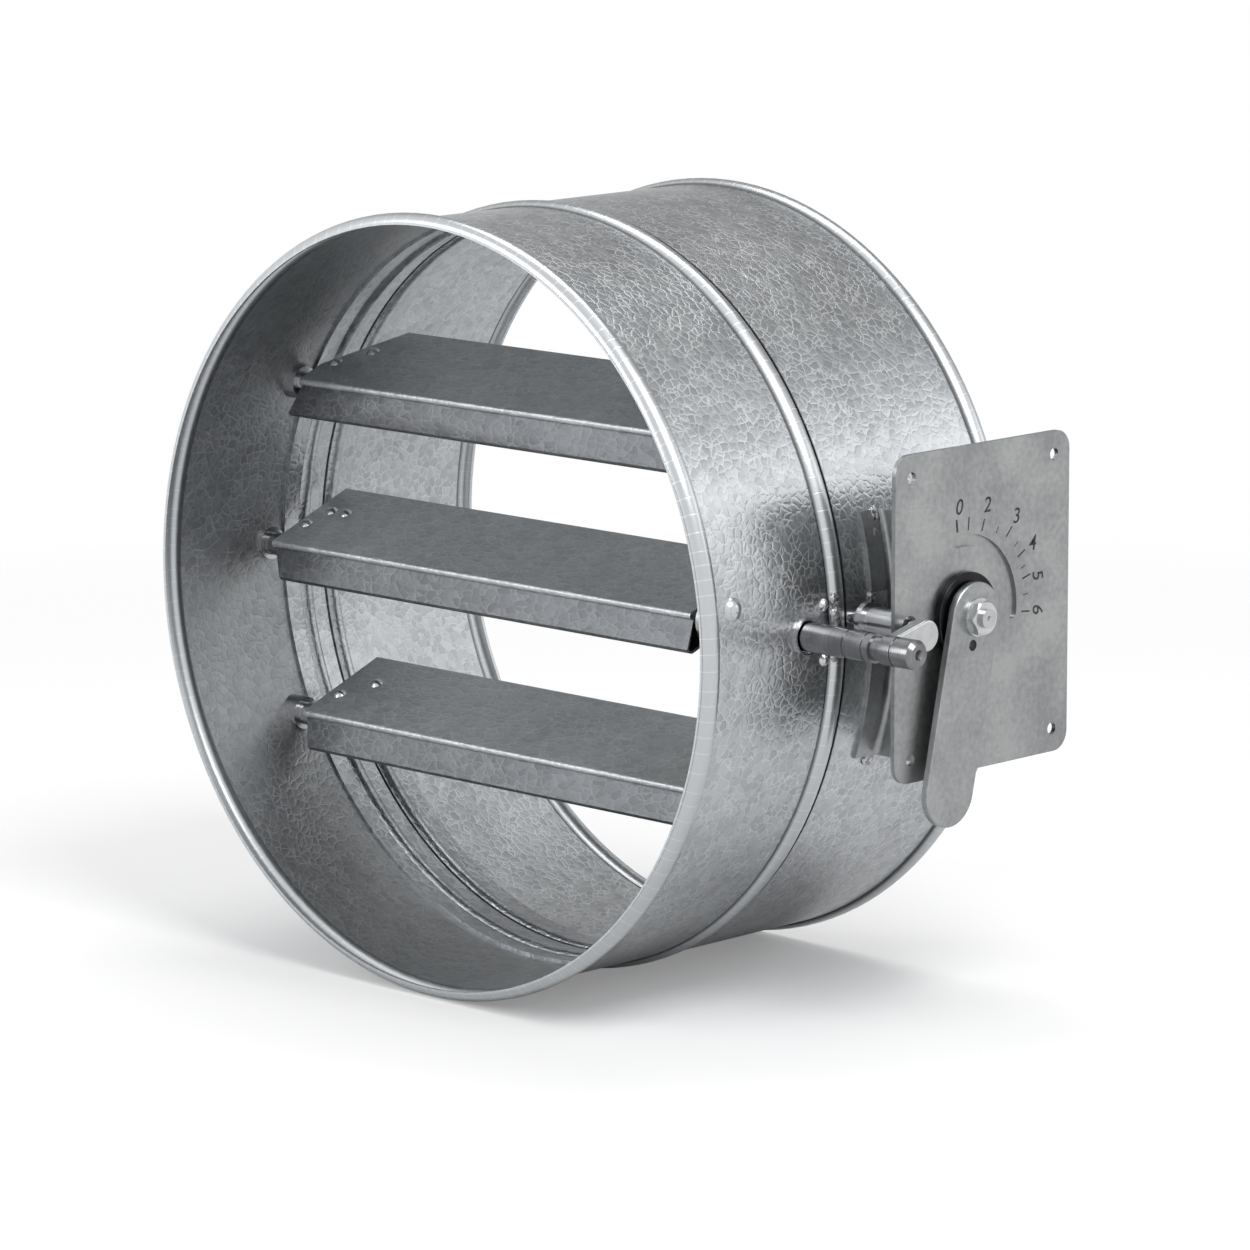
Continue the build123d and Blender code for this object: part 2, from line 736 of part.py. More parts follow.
with BuildPart() as yoke_pin:
    with BuildSketch(across(tie_bar_x - yoke_pin_beyond)):
        with Locations(yoke_pin_place):
            Circle(pin_r)
    extrude(amount=spindle_crank_end_x - tie_bar_x + yoke_pin_beyond)
yoke_pin.part.label = "yoke_pin"
export_step(yoke_pin.part, "parts/yoke_pin.step")

# Sleeve in the rear shell and spacer tube, which carry the spindle and keep its crank in place
spindle_sleeve_start = wall_x(outer_r, pivot_z + sleeve_d / 2) - sleeve_inside
with BuildPart() as spindle_sleeve:
    with BuildSketch(across(spindle_sleeve_start)):
        with Locations((pivot_y, pivot_z)):
            Circle(sleeve_d / 2)
            Circle(spindle_d / 2 + running_gap, mode=Mode.SUBTRACT)
    extrude(amount=rear_outer_r + sleeve_outside - spindle_sleeve_start)
spindle_sleeve.part.label = "spindle_sleeve"
export_step(spindle_sleeve.part, "parts/spindle_sleeve.step")

with BuildPart() as spindle_spacer:
    with BuildSketch(across(spindle_crank_end_x)):
        with Locations((pivot_y, pivot_z)):
            Circle(sleeve_d / 2)
            Circle(spindle_d / 2, mode=Mode.SUBTRACT)
    extrude(amount=spindle_sleeve_start - head_gap - spindle_crank_end_x)
spindle_spacer.part.label = "spindle_spacer"
export_step(spindle_spacer.part, "parts/spindle_spacer.step")


# Outline of the spindle's neck: two flats along the lever drive the pointer and the lever
with BuildSketch() as neck_outline:
    Circle(spindle_neck_d / 2)
    Rectangle(spindle_neck_d, spindle_flats, rotation=lever_angle, mode=Mode.INTERSECT)

# Spindle: round through the bearings, flat-sided under the lever, round again for the nut
with BuildPart() as spindle:
    with BuildSketch(across(spindle_crank_x)):
        with Locations((pivot_y, pivot_z)):
            Circle(spindle_d / 2)
    extrude(amount=pointer_x - spindle_crank_x)
    with BuildSketch(across(pointer_x)):
        with Locations((pivot_y, pivot_z)):
            add(neck_outline.sketch)
    extrude(amount=washer_x - pointer_x)
    with BuildSketch(across(washer_x)):
        with Locations((pivot_y, pivot_z)):
            Circle(spindle_neck_d / 2)
    extrude(amount=spindle_end_x - washer_x)
    with BuildSketch(across(spindle_end_x)):
        with Locations((pivot_y, pivot_z)):
            Circle(spindle_centre_d / 2)
    extrude(amount=-spindle_centre_d / 2, taper=centre_drill_taper, mode=Mode.SUBTRACT)
spindle.part.label = "spindle"
export_step(spindle.part, "parts/spindle.step")

# Dial plate: rounded corners, four fixing holes, the stud's hole and the curved slot
with BuildPart() as dial_plate:
    with BuildSketch(across(plate_back_x)):
        plate_width = plate_rear_y - plate_front_y
        plate_height = plate_top_z - plate_bottom_z
        plate_middle = ((plate_front_y + plate_rear_y) / 2, (plate_bottom_z + plate_top_z) / 2)
        with Locations(plate_middle):
            RectangleRounded(plate_width, plate_height, plate_corner_r)
            with GridLocations(plate_width - 2 * plate_hole_inset, plate_height - 2 * plate_hole_inset, 2, 2):
                Circle(plate_hole_d / 2, mode=Mode.SUBTRACT)
        with Locations((stud_y, stud_z)):
            Circle(stud_hole_d / 2, mode=Mode.SUBTRACT)
        with Locations((pivot_y, pivot_z)):
            Circle(plate_spindle_hole_d / 2, mode=Mode.SUBTRACT)
        with BuildLine():
            slot_sweep = dial_zero_angle - dial_full_angle
            slot_start = turned(pivot_y, pivot_z, dial_slot_r, dial_full_angle)
            slot_end = turned(pivot_y, pivot_z, dial_slot_r, dial_zero_angle)
            CenterArc((pivot_y, pivot_z), dial_slot_r + dial_slot_width / 2, dial_full_angle, slot_sweep)
            CenterArc((pivot_y, pivot_z), dial_slot_r - dial_slot_width / 2, dial_full_angle, slot_sweep)
            CenterArc(slot_start, dial_slot_width / 2, dial_full_angle, -180)
            CenterArc(slot_end, dial_slot_width / 2, dial_zero_angle, 180)
        make_face(mode=Mode.SUBTRACT)
    extrude(amount=plate_thickness)
dial_plate.part.label = "dial_plate"
export_step(dial_plate.part, "parts/dial_plate.step")

# Boss on the plate, in which the spindle turns
with BuildPart() as hub_boss:
    with BuildSketch(across(plate_face_x)):
        with Locations((pivot_y, pivot_z)):
            Circle(boss_d / 2)
    extrude(amount=boss_height)
    fillet(hub_boss.faces().sort_by(Axis.X)[-1].edges(), radius=boss_edge)
    with BuildSketch(across(plate_face_x)):
        with Locations((pivot_y, pivot_z)):
            Circle(spindle_d / 2 + running_gap)
    extrude(amount=boss_height, mode=Mode.SUBTRACT)
hub_boss.part.label = "hub_boss"
export_step(hub_boss.part, "parts/hub_boss.step")

# Pointer: a thin disc under the lever, whose tab shows the setting
with BuildPart() as pointer:
    with BuildSketch(across(pointer_x)):
        with Locations((pivot_y, pivot_z)):
            Circle(pointer_disc_r)
        with Locations(turned(pivot_y, pivot_z, pointer_reach / 2, dial_full_angle)):
            Rectangle(pointer_reach, pointer_tab_width, rotation=dial_full_angle)
        with Locations((pivot_y, pivot_z)):
            add(neck_outline.sketch, mode=Mode.SUBTRACT)
    extrude(amount=pointer_thickness)
pointer.part.label = "pointer"
export_step(pointer.part, "parts/pointer.step")

# Lever: a flat bar with round ends
with BuildPart() as lever:
    with BuildSketch(across(lever_x)):
        with Locations(turned(pivot_y, pivot_z, lever_length / 2, lever_angle)):
            SlotCenterToCenter(lever_length, lever_width, rotation=lever_angle)
        with Locations(turned(pivot_y, pivot_z, lever_hole_at, lever_angle)):
            Circle(lever_hole_d / 2, mode=Mode.SUBTRACT)
        with Locations((pivot_y, pivot_z)):
            add(neck_outline.sketch, mode=Mode.SUBTRACT)
    extrude(amount=lever_thickness)
    chamfer(lever.faces().sort_by(Axis.X)[-1].outer_wire().edges(), length=lever_edge)
lever.part.label = "lever"
export_step(lever.part, "parts/lever.step")

# Washer and nut on the spindle's end
with BuildPart() as lever_washer:
    with BuildSketch(across(washer_x)):
        with Locations((pivot_y, pivot_z)):
            Circle(washer_d / 2)
            Circle(spindle_neck_d / 2, mode=Mode.SUBTRACT)
    extrude(amount=washer_thickness)
lever_washer.part.label = "lever_washer"
export_step(lever_washer.part, "parts/lever_washer.step")

with BuildPart() as lever_nut:
    with BuildSketch(across(nut_x)):
        with Locations((pivot_y, pivot_z)):
            Circle(nut_corner_d / 2)
    extrude(amount=nut_height)
    chamfer(lever_nut.faces().sort_by(Axis.X)[-1].edges(), length=nut_chamfer)
    with BuildSketch(across(nut_x)):
        with Locations((pivot_y, pivot_z)):
            RegularPolygon(nut_width / 2, 6, major_radius=False)
    extrude(amount=nut_height, mode=Mode.INTERSECT)
    with BuildSketch(across(nut_x)):
        with Locations((pivot_y, pivot_z)):
            Circle(spindle_neck_d / 2)
    extrude(amount=nut_height, mode=Mode.SUBTRACT)
lever_nut.part.label = "lever_nut"
export_step(lever_nut.part, "parts/lever_nut.step")

# Stud: welded to the casing's wall, it carries the spacer and the keeper
with BuildPart() as stud:
    with BuildSketch(across(inner_r / 2)):
        with Locations((stud_y, stud_z)):
            Circle(stud_d / 2)
    extrude(amount=keeper_start_x + keeper_thickness - keeper_floor - inner_r / 2)
    with BuildSketch(Plane.XZ):
        Circle(outer_r)
    extrude(amount=duct_length, both=True, mode=Mode.SUBTRACT)
stud.part.label = "stud"
export_step(stud.part, "parts/stud.step")

# Spacer on the stud: a collared tube that stands against the back of the plate
with BuildPart() as stud_spacer:
    with BuildSketch(across(spacer_start_x)):
        with Locations((stud_y, stud_z)):
            Circle(spacer_collar_d / 2)
    extrude(amount=spacer_collar_width)
    with BuildSketch(across(spacer_start_x)):
        with Locations((stud_y, stud_z)):
            Circle(spacer_d / 2)
    extrude(amount=plate_back_x - spacer_start_x)
    with BuildSketch(across(spacer_start_x)):
        with Locations((stud_y, stud_z)):
            Circle(stud_d / 2)
    extrude(amount=plate_back_x - spacer_start_x, mode=Mode.SUBTRACT)
stud_spacer.part.label = "stud_spacer"
export_step(stud_spacer.part, "parts/stud_spacer.step")

# Keeper: a rounded lug on the stud that reaches into the main shaft's groove
with BuildPart() as shaft_keeper:
    with BuildSketch(across(keeper_start_x)):
        with Locations((stud_y - keeper_end_inset, stud_z - keeper_end_drop)):
            Circle(keeper_end_r)
        with Locations((shaft_y + keeper_neck_back, shaft_z)):
            Circle(keeper_neck_r)
        make_hull()
    extrude(amount=keeper_thickness)
    fillet(shaft_keeper.faces().sort_by(Axis.X)[-1].edges(), radius=keeper_edge)
    with BuildSketch(across(keeper_start_x)):
        with Locations((shaft_y, shaft_z)):
            Circle(shaft_r - keeper_groove_depth + keeper_play)
    extrude(amount=keeper_thickness, mode=Mode.SUBTRACT)
    with BuildSketch(across(keeper_start_x)):
        with Locations((stud_y, stud_z)):
            Circle(stud_d / 2)
    extrude(amount=keeper_thickness - keeper_floor, mode=Mode.SUBTRACT)
shaft_keeper.part.label = "shaft_keeper"
export_step(shaft_keeper.part, "parts/shaft_keeper.step")

# Bracket: one folded sheet whose foot follows the round casing and whose flange backs the plate
foot_start_x = wall_x(rear_outer_r, max(-bracket_bottom_z, bracket_top_z))
round_part_end_x = plate_back_x - bracket_fold_r
with BuildPart() as plate_bracket:
    with BuildSketch(Plane.XY):
        with BuildLine():
            FilletPolyline(
                (rear_outer_r, bracket_web_y - bracket_foot),
                (rear_outer_r, bracket_web_y),
                (plate_back_x + bracket_sheet, bracket_web_y),
                radius=bracket_fold_r,
            )
            offset(amount=bracket_sheet, side=Side.RIGHT)
        make_face()
    revolve(axis=Axis.Y)
    with BuildSketch(Plane.XY.offset(bracket_bottom_z)):
        with Locations(((foot_start_x + round_part_end_x) / 2, bracket_web_y)):
            Rectangle(round_part_end_x - foot_start_x, 4 * bracket_foot)
    extrude(amount=bracket_top_z - bracket_bottom_z, mode=Mode.INTERSECT)
    with BuildSketch(Plane.XY.offset(bracket_bottom_z)):
        with BuildLine():
            FilletPolyline(
                (round_part_end_x - bracket_sheet, bracket_web_y),
                (plate_back_x, bracket_web_y),
                (plate_back_x, bracket_web_y - bracket_flange),
                radius=bracket_fold_r,
            )
            offset(amount=bracket_sheet, side=Side.RIGHT)
        make_face()
    extrude(amount=bracket_top_z - bracket_bottom_z)
    with BuildSketch(Plane.XY.offset(bracket_notch_low)):
        with Locations((rear_outer_r, bracket_web_y - bracket_foot)):
            Rectangle(2 * (bracket_sheet + bracket_fold_r), 2 * (bracket_foot - bracket_fold_r))
    extrude(amount=bracket_notch_high - bracket_notch_low, mode=Mode.SUBTRACT)
plate_bracket.part.label = "plate_bracket"
export_step(plate_bracket.part, "parts/plate_bracket.step")
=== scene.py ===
import bpy
import json
from math import atan2, cos, hypot, pi, radians, sin
from mathutils import Matrix, Vector, noise


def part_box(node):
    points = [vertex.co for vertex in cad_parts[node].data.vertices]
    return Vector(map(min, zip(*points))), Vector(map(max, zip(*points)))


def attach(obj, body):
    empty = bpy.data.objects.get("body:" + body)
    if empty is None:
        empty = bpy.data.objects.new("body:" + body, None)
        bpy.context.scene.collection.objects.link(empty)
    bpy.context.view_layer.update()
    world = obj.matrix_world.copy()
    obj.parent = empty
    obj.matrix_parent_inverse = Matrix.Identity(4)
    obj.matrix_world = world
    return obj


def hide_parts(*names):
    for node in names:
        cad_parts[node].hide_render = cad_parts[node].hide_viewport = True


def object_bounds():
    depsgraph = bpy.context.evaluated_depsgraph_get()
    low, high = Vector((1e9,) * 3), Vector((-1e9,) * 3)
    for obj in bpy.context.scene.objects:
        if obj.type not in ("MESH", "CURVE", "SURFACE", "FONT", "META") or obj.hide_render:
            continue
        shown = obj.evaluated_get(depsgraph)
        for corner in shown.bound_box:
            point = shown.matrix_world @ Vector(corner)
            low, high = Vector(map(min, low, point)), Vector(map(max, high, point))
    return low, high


# A round galvanised duct damper with three blades, a dial plate and a lever
# Everything is in metres in the frame of the solids: +Y along the duct, +X the lever's side, +Z up

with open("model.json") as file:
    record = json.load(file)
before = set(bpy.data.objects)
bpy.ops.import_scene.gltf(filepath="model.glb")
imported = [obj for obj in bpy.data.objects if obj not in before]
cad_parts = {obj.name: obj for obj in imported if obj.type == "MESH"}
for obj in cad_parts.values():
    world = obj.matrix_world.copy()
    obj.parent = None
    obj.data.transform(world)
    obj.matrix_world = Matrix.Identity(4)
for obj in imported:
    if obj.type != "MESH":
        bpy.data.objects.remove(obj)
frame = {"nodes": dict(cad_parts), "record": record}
solid_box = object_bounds()
mm = 0.001

# Places that the dressing takes from the solids
plate_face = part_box("dial_plate")[1][0]
nut_low, nut_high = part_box("lever_nut")
pivot = Vector((plate_face, (nut_low[1] + nut_high[1]) / 2, (nut_low[2] + nut_high[2]) / 2))
duct_radius = 158.5 * mm
duct_middle = 91 * mm
floor_height = solid_box[0][2]

slot_of_node = {part["node"]: part["material_slot"] for part in frame["record"]["subparts"]}
body_of_node = {
    node: body for body, nodes in frame["record"]["behaviour"]["bodies"].items() for node in nodes
}

# Photograph's camera
image_size = 1250
camera_azimuth = radians(44.55)
camera_elevation = radians(10.61)
camera_roll = radians(-0.19)
camera_place = Vector((1736.5, -1645.5, 441.8)) * mm
focal_pixels = 5974
sensor_width = 36


def colour(hex_code):
    """Linear colour with alpha from an sRGB hex code."""
    parts = [int(hex_code[i:i + 2], 16) / 255 for i in (1, 3, 5)]
    return [p / 12.92 if p <= 0.04045 else ((p + 0.055) / 1.055) ** 2.4 for p in parts] + [1.0]


def add_node(tree, kind, inputs=(), **settings):
    """Add a shader node with its settings. Its inputs come by name or in their order.

    An input is a value, another node's output, or another node, whose first output in use is linked.
    """
    made = tree.nodes.new(f"ShaderNode{kind}")
    for name, value in settings.items():
        setattr(made, name, value)
    for key, value in inputs.items() if isinstance(inputs, dict) else enumerate(inputs):
        if isinstance(value, bpy.types.Node):
            value = next(output for output in value.outputs if output.enabled)
        if isinstance(value, bpy.types.NodeSocket):
            tree.links.new(value, made.inputs[key])
        else:
            made.inputs[key].default_value = value
    return made


def new_material(name):
    """A node material, its tree, its shader and the place on the piece that its patterns read."""
    material = bpy.data.materials.new(name)
    material.use_nodes = True
    tree = material.node_tree
    return material, tree, tree.nodes["Principled BSDF"], add_node(tree, "TexCoord").outputs["Object"]


def per_mm(size):
    """Scale of a texture whose cells measure that many millimetres."""
    return 1 / (size * mm)


def crackle(tree, place, spangle, stretch):
    """Cells of the zinc, as their colours and the distance to the grooves between them."""
    drawn = add_node(tree, "VectorMath", [place, (1 / stretch, 1, 1)], operation="MULTIPLY")
    # The grooves wander, so the cells' coordinates are bent by a soft noise
    bend = add_node(tree, "TexNoise", {"Vector": drawn, "Scale": per_mm(spangle * 0.9), "Detail": 1.0})
    centred = add_node(tree, "VectorMath", [bend.outputs["Color"], [0.5] * 3], operation="SUBTRACT")
    bent = add_node(
        tree, "VectorMath", [centred, [spangle * 0.7 * mm] * 3, drawn], operation="MULTIPLY_ADD"
    )
    cells = {"Vector": bent, "Scale": per_mm(spangle)}
    edges = add_node(tree, "TexVoronoi", cells, feature="DISTANCE_TO_EDGE")
    return add_node(tree, "TexVoronoi", cells).outputs["Color"], edges.outputs["Distance"]


# Rolled rims and beads along the duct: middle and half width in millimetres
rolled_zones = ((3.6, 4.6), (77.5, 4.4), (177.8, 4.6))
rim_break_spacing = 7
# Painted shade in the creases beside the rims and beads
painted_crease_colour = "#3c3e40"
# Painted shade inside the front shell
inner_painted_shade = "#5c5f61"
front_shell_end = 100


def rolled_rims(tree, axes):
    """Where the rims and beads are, the painted shade in the creases beside them, and the breaks of the
    zinc across them.
    """
    turn = add_node(tree, "Math", [axes.outputs["Z"], axes.outputs["X"]], operation="ARCTAN2")
    turn = add_node(tree, "Math", [turn, 4.0], operation="ADD")
    steps = add_node(
        tree, "TexVoronoi", {"W": turn, "Scale": duct_radius / (rim_break_spacing * mm)},
        voronoi_dimensions="1D", feature="DISTANCE_TO_EDGE",
    )
    zone = painted_crease_shade = 0.0
    for middle, half in rolled_zones:
        away = add_node(tree, "Math", [axes.outputs["Y"], middle * mm], operation="SUBTRACT")
        away = add_node(tree, "Math", [away], operation="ABSOLUTE")
        near = add_node(tree, "MapRange", [away, (half - 0.6) * mm, (half + 0.6) * mm, 1.0, 0.0])
        zone = add_node(tree, "Math", [near, zone], operation="ADD")
        # Painted shade: a dark line is painted in the crease where a bead meets the sheet
        beside = add_node(tree, "Math", [away, (half + 0.1) * mm], operation="SUBTRACT")
        beside = add_node(tree, "Math", [beside], operation="ABSOLUTE")
        near = add_node(tree, "MapRange", [beside, 0.25 * mm, 0.9 * mm, 1.0, 0.0])
        painted_crease_shade = add_node(tree, "Math", [near, painted_crease_shade], operation="ADD")
    return zone, painted_crease_shade, add_node(tree, "MapRange", [steps, 0.0, 0.05, 1.0, 0.0])


def galvanised_steel(
    name, dark, light, line, spangle, roughness, metallic=1.0, stretch=1.0, depth=0.8, rims=False
):
    """Hot-dip galvanised sheet: a crackle of small domed zinc cells with fine grooves between them.

    The cells measure spangle millimetres, stretch times as much along X. With rims, the rolled rims and
    beads are smooth and brighter, with short hairline breaks of the zinc across them, and painted shade
    darkens the creases beside them and the inside of the front shell.
    """
    material, tree, shader, place = new_material(name)
    cells, edges = crackle(tree, place, spangle, stretch)
    # Edges are measured in shares of a cell, from the middle of the groove at its side
    groove = add_node(tree, "MapRange", [edges, 0.015, 0.085, 1.0, 0.0])
    dome = add_node(tree, "MapRange", [edges, 0.0, 0.30, 0.0, 1.0], interpolation_type="SMOOTHSTEP")
    # Some grooves are faint: a broad noise fades them in patches
    patch = add_node(tree, "TexNoise", {"Vector": place, "Scale": per_mm(9), "Detail": 2.0})
    faint = add_node(tree, "MapRange", [patch, 0.36, 0.56, 0.25, 1.0])
    groove = add_node(tree, "Math", [groove, faint], operation="MULTIPLY")
    # Each cell has its own tone, and broad clouds lie over them
    cell = add_node(tree, "SeparateColor", [cells]).outputs["Red"]
    cell = add_node(tree, "Math", [cell, 0.3], operation="MULTIPLY")
    cloud = add_node(tree, "TexNoise", {"Vector": place, "Scale": per_mm(45), "Detail": 4.0})
    tone = add_node(tree, "Math", [cloud, 0.7, cell], operation="MULTIPLY_ADD")
    tone = add_node(tree, "MapRange", [tone, 0.25, 0.75, 0.0, 1.0])
    if rims:
        axes = add_node(tree, "SeparateXYZ", [place])
        zone, painted_crease_shade, break_line = rolled_rims(tree, axes)
        groove = add_node(tree, "Mix", {"Factor": zone, "A": groove, "B": break_line})
        dome = add_node(tree, "Mix", {"Factor": zone, "A": dome, "B": 1.0})
        tone = add_node(tree, "Mix", {"Factor": zone, "A": tone, "B": 1.0})
    body = add_node(tree, "Mix", {"Factor": tone, 6: colour(dark), 7: colour(light)}, data_type="RGBA")
    share = add_node(tree, "Math", [groove, 0.55], operation="MULTIPLY")
    shown = add_node(tree, "Mix", {"Factor": share, 6: body, 7: colour(line)}, data_type="RGBA")
    rough = add_node(tree, "Math", [cloud, 0.06, roughness], operation="MULTIPLY_ADD")
    rough = add_node(tree, "Math", [groove, 0.1, rough], operation="MULTIPLY_ADD")
    if rims:
        # Painted shade darkens the creases beside the rims and beads
        share = add_node(tree, "Math", [painted_crease_shade, 0.75], operation="MULTIPLY")
        shown = add_node(
            tree, "Mix", {"Factor": share, 6: shown, 7: colour(painted_crease_colour)}, data_type="RGBA"
        )
        # Inside, where the normal looks at the duct's axis, the sheet is duller, and the front shell's
        # plain sheet is darkened with painted shade
        radial = add_node(tree, "VectorMath", [place, (1, 0, 1)], operation="MULTIPLY")
        normal = add_node(tree, "NewGeometry").outputs["Normal"]
        facing = add_node(tree, "VectorMath", [radial, normal], operation="DOT_PRODUCT")
        inside = add_node(tree, "MapRange", [facing, -0.03, 0.03, 1.0, 0.0])
        rough = add_node(tree, "Math", [inside, 0.12, rough], operation="MULTIPLY_ADD")
        front = add_node(tree, "Math", [axes.outputs["Y"], front_shell_end * mm], operation="LESS_THAN")
        plain = add_node(tree, "Math", [1.0, zone], operation="SUBTRACT")
        share = 0.5
        for part in (inside, front, plain):
            share = add_node(tree, "Math", [part, share], operation="MULTIPLY")
        shown = add_node(
            tree, "Mix", {"Factor": share, 6: shown, 7: colour(inner_painted_shade)}, data_type="RGBA"
        )
    tree.links.new(shown.outputs[2], shader.inputs["Base Color"])
    tree.links.new(rough.outputs[0], shader.inputs["Roughness"])
    shader.inputs["Metallic"].default_value = metallic
    # The relief has the domes, the grooves and a fine grain
    grain = add_node(tree, "TexNoise", {"Vector": place, "Scale": per_mm(0.8), "Detail": 3.0})
    relief = add_node(tree, "Math", [groove, -0.5, dome], operation="MULTIPLY_ADD")
    relief = add_node(tree, "Math", [grain, 0.1, relief], operation="MULTIPLY_ADD")
    bump = add_node(tree, "Bump", {"Strength": depth, "Distance": 0.07 * mm, "Height": relief})
    tree.links.new(bump.outputs["Normal"], shader.inputs["Normal"])
    return material


def zinc_plate(name, dark, light, roughness):
    """Electro-galvanised flat steel: satin grey, mottled and stained, with a few slanting hairlines."""
    material, tree, shader, place = new_material(name)
    stain = add_node(tree, "TexNoise", {"Vector": place, "Scale": per_mm(26), "Detail": 5.0})
    mottle = add_node(tree, "TexNoise", {"Vector": place, "Scale": per_mm(2.6), "Detail": 3.0})
    speck = add_node(tree, "TexNoise", {"Vector": place, "Scale": per_mm(0.7), "Detail": 2.0})
    # Hairlines are the thin edges of cells that are drawn out along one slanting direction
    slant = {"Vector": place, "Rotation": (radians(38), 0, 0), "Scale": (1, 0.05, 1)}
    turned = add_node(tree, "Mapping", slant)
    hair = add_node(tree, "TexVoronoi", {"Vector": turned, "Scale": per_mm(7)}, feature="DISTANCE_TO_EDGE")
    hair = add_node(tree, "MapRange", [hair, 0.0, 0.012, 1.0, 0.0])
    worn = add_node(tree, "MapRange", [stain, 0.52, 0.62, 0.0, 1.0])
    hair = add_node(tree, "Math", [hair, worn], operation="MULTIPLY")
    stained = add_node(tree, "Math", [stain, 0.6], operation="MULTIPLY")
    tone = add_node(tree, "Math", [mottle, 0.4, stained], operation="MULTIPLY_ADD")
    tone = add_node(tree, "MapRange", [tone, 0.38, 0.62, 0.0, 1.0])
    body = add_node(tree, "Mix", {"Factor": tone, 6: colour(dark), 7: colour(light)}, data_type="RGBA")
    share = add_node(tree, "Math", [hair, 0.12], operation="MULTIPLY")
    shown = add_node(tree, "Mix", {"Factor": share, 6: body, 7: colour("#e0e0e0")}, data_type="RGBA")
    tree.links.new(shown.outputs[2], shader.inputs["Base Color"])
    shader.inputs["Metallic"].default_value = 1.0
    rough = add_node(tree, "Math", [tone, 0.08, roughness], operation="MULTIPLY_ADD")
    tree.links.new(rough.outputs[0], shader.inputs["Roughness"])
    relief = add_node(tree, "Math", [speck, 0.5, mottle], operation="MULTIPLY_ADD")
    relief = add_node(tree, "Math", [hair, -0.25, relief], operation="MULTIPLY_ADD")
    bump = add_node(tree, "Bump", {"Strength": 0.4, "Distance": 0.05 * mm, "Height": relief})
    tree.links.new(bump.outputs["Normal"], shader.inputs["Normal"])
    return material


def turned_steel(name, dark, light, roughness):
    """Steel turned on a lathe: fine rings round the X axis, darker where the tool left them deep."""
    material, tree, shader, place = new_material(name)
    along = add_node(tree, "SeparateXYZ", [place]).outputs["X"]
    rings = add_node(
        tree, "TexNoise", {"W": along, "Scale": per_mm(0.5), "Detail": 2.0}, noise_dimensions="1D"
    )
    smear = add_node(tree, "TexNoise", {"Vector": place, "Scale": per_mm(6), "Detail": 3.0})
    tone = add_node(tree, "Math", [rings, smear], operation="ADD")
    # The sum of the two patterns lies around 1
    tone = add_node(tree, "MapRange", [tone, 0.6, 1.4, 0.0, 1.0])
    shown = add_node(tree, "Mix", {"Factor": tone, 6: colour(dark), 7: colour(light)}, data_type="RGBA")
    tree.links.new(shown.outputs[2], shader.inputs["Base Color"])
    shader.inputs["Metallic"].default_value = 1.0
    rough = add_node(tree, "Math", [tone, 0.06, roughness], operation="MULTIPLY_ADD")
    tree.links.new(rough.outputs[0], shader.inputs["Roughness"])
    bump = add_node(tree, "Bump", {"Strength": 0.15, "Distance": 0.03 * mm, "Height": rings})
    tree.links.new(bump.outputs["Normal"], shader.inputs["Normal"])
    return material


def dial_ink():
    """Etched and blackened marks: matt, nearly black, a little greyer where they are worn."""
    material, tree, shader, place = new_material("etched_marks")
    wear = add_node(tree, "TexNoise", {"Vector": place, "Scale": per_mm(1.5), "Detail": 3.0})
    worn = add_node(tree, "MapRange", [wear, 0.45, 0.75, 0.0, 1.0])
    tones = {"Factor": worn, 6: colour("#1d1d1f"), 7: colour("#4a4a4c")}
    tree.links.new(add_node(tree, "Mix", tones, data_type="RGBA").outputs[2], shader.inputs["Base Color"])
    shader.inputs["Roughness"].default_value = 0.6
    return material


def weld_metal():
    """Small weld beads: bright silvery metal with dull heat marks."""
    material, tree, shader, place = new_material("weld_bead")
    mottle = add_node(tree, "TexNoise", {"Vector": place, "Scale": per_mm(1.6), "Detail": 4.0})
    tone = add_node(tree, "MapRange", [mottle, 0.35, 0.65, 0.0, 1.0])
    tones = {"Factor": tone, 6: colour("#6f6f72"), 7: colour("#d4d4d6")}
    tree.links.new(add_node(tree, "Mix", tones, data_type="RGBA").outputs[2], shader.inputs["Base Color"])
    shader.inputs["Metallic"].default_value = 1.0
    shader.inputs["Roughness"].default_value = 0.34
    bump = add_node(tree, "Bump", {"Strength": 0.5, "Distance": 0.2 * mm, "Height": tone})
    tree.links.new(bump.outputs["Normal"], shader.inputs["Normal"])
    return material


# Sheets: dark and light tone, the grooves' colour, the cells' size in millimetres and the roughness
casing_sheet = galvanised_steel(
    "galvanised_steel_casing", "#a2a5a8", "#c4c7c9", "#e4e6e7", 3.6, 0.27, rims=True
)
ring_sheet = galvanised_steel("galvanised_steel_rings", "#94979a", "#b4b7ba", "#cccfd1", 3.6, 0.27)
blade_sheet = galvanised_steel(
    "galvanised_steel_blades", "#a8abad", "#bfc2c4", "#d8dadb", 3.2, 0.36, metallic=0.72, stretch=1.6
)
